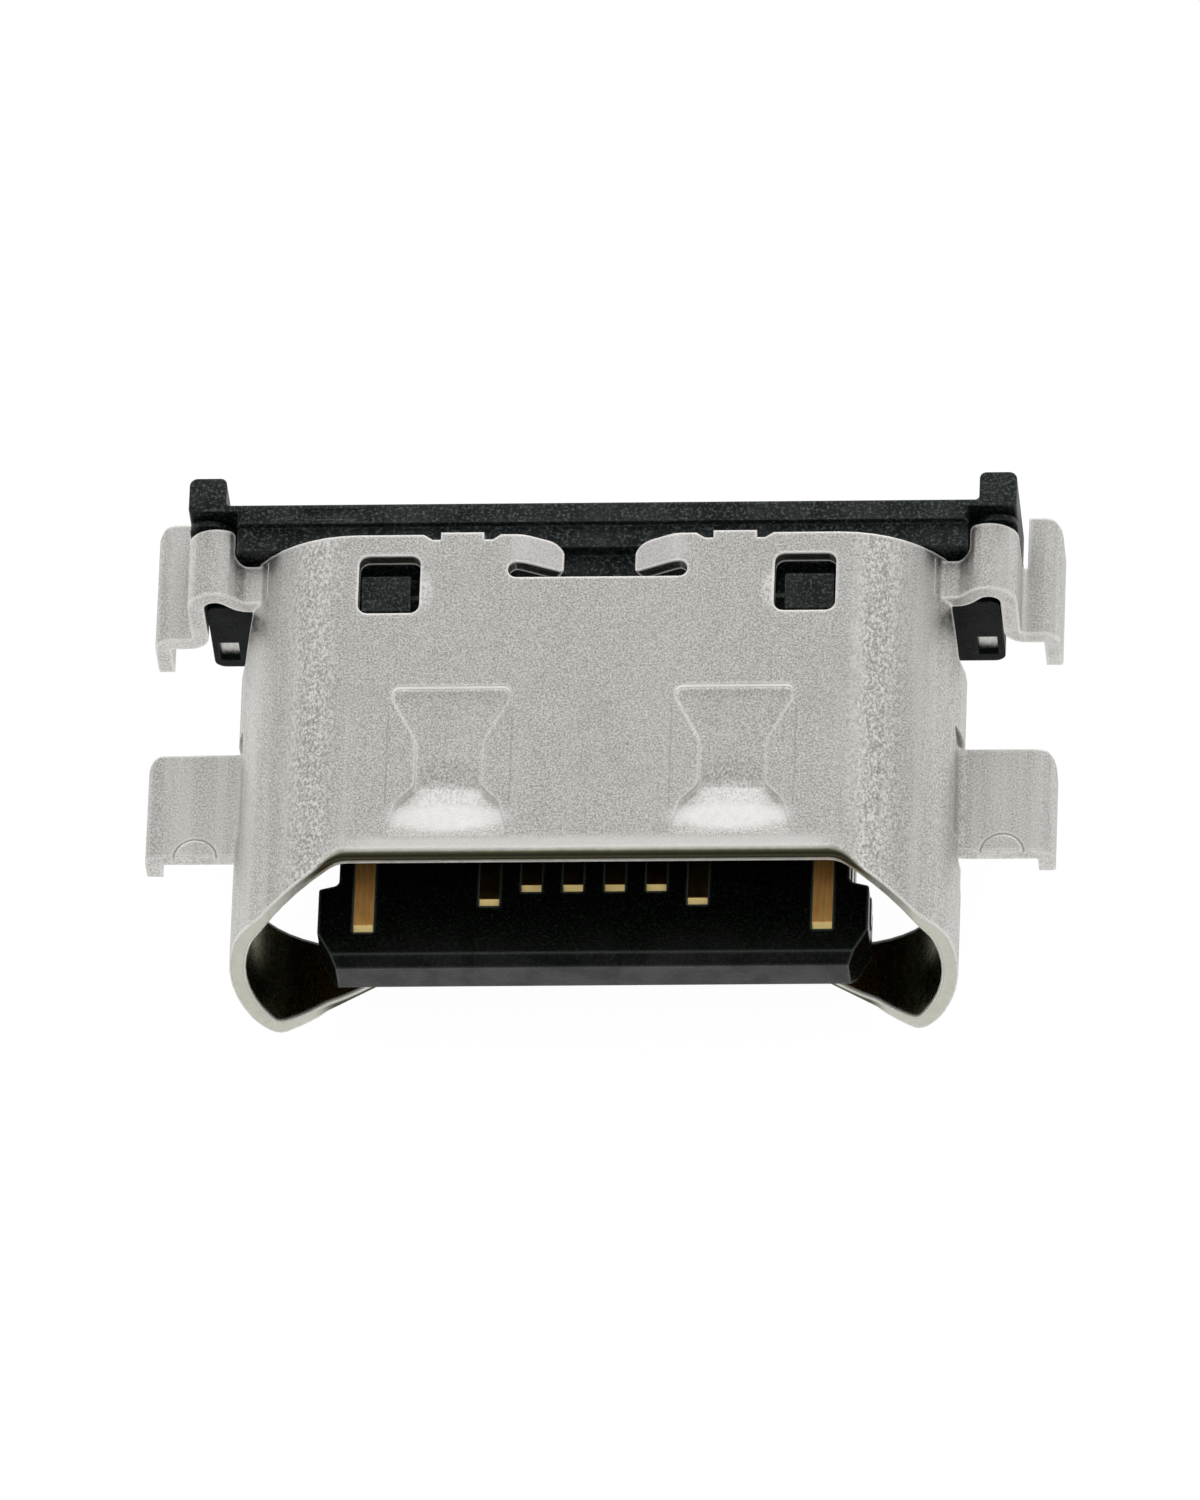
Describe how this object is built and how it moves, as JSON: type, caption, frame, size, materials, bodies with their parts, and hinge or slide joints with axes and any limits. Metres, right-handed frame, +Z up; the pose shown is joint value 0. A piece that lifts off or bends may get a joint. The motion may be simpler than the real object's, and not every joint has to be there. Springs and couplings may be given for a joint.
{
  "type": "usb-c socket",
  "caption": "Mid-mount USB Type-C board socket: formed steel shell with four solder feet, black insulator and tongue, gold contacts on both faces of the tongue.",
  "frame": {"origin": "centre of the mouth, in the plane of the foremost rim of the shell", "axes": "+X to the right seen from the front, +Y into the mouth, +Z up and away from the board"},
  "size_m": [0.011, 0.0065, 0.003],
  "materials": {
    "shell_steel": "satin, fine grained",
    "insulator": "moulded, satin",
    "plate_steel": "satin",
    "contact_gold": "gold plated, satin"
  },
  "bodies": {
    "root": {"shell": "shell_steel", "housing": "insulator", "tongue": "insulator", "mid_plate": "plate_steel", "upper_ground_plate": "plate_steel", "lower_ground_plate": "plate_steel", "contact_a1": "contact_gold", "contact_a4": "contact_gold", "contact_a5": "contact_gold", "contact_a6": "contact_gold", "contact_a7": "contact_gold", "contact_a8": "contact_gold", "contact_a9": "contact_gold", "contact_a12": "contact_gold", "contact_b12": "contact_gold", "contact_b9": "contact_gold", "contact_b8": "contact_gold", "contact_b7": "contact_gold", "contact_b6": "contact_gold", "contact_b5": "contact_gold", "contact_b4": "contact_gold", "contact_b1": "contact_gold"}
  },
  "joints": []
}
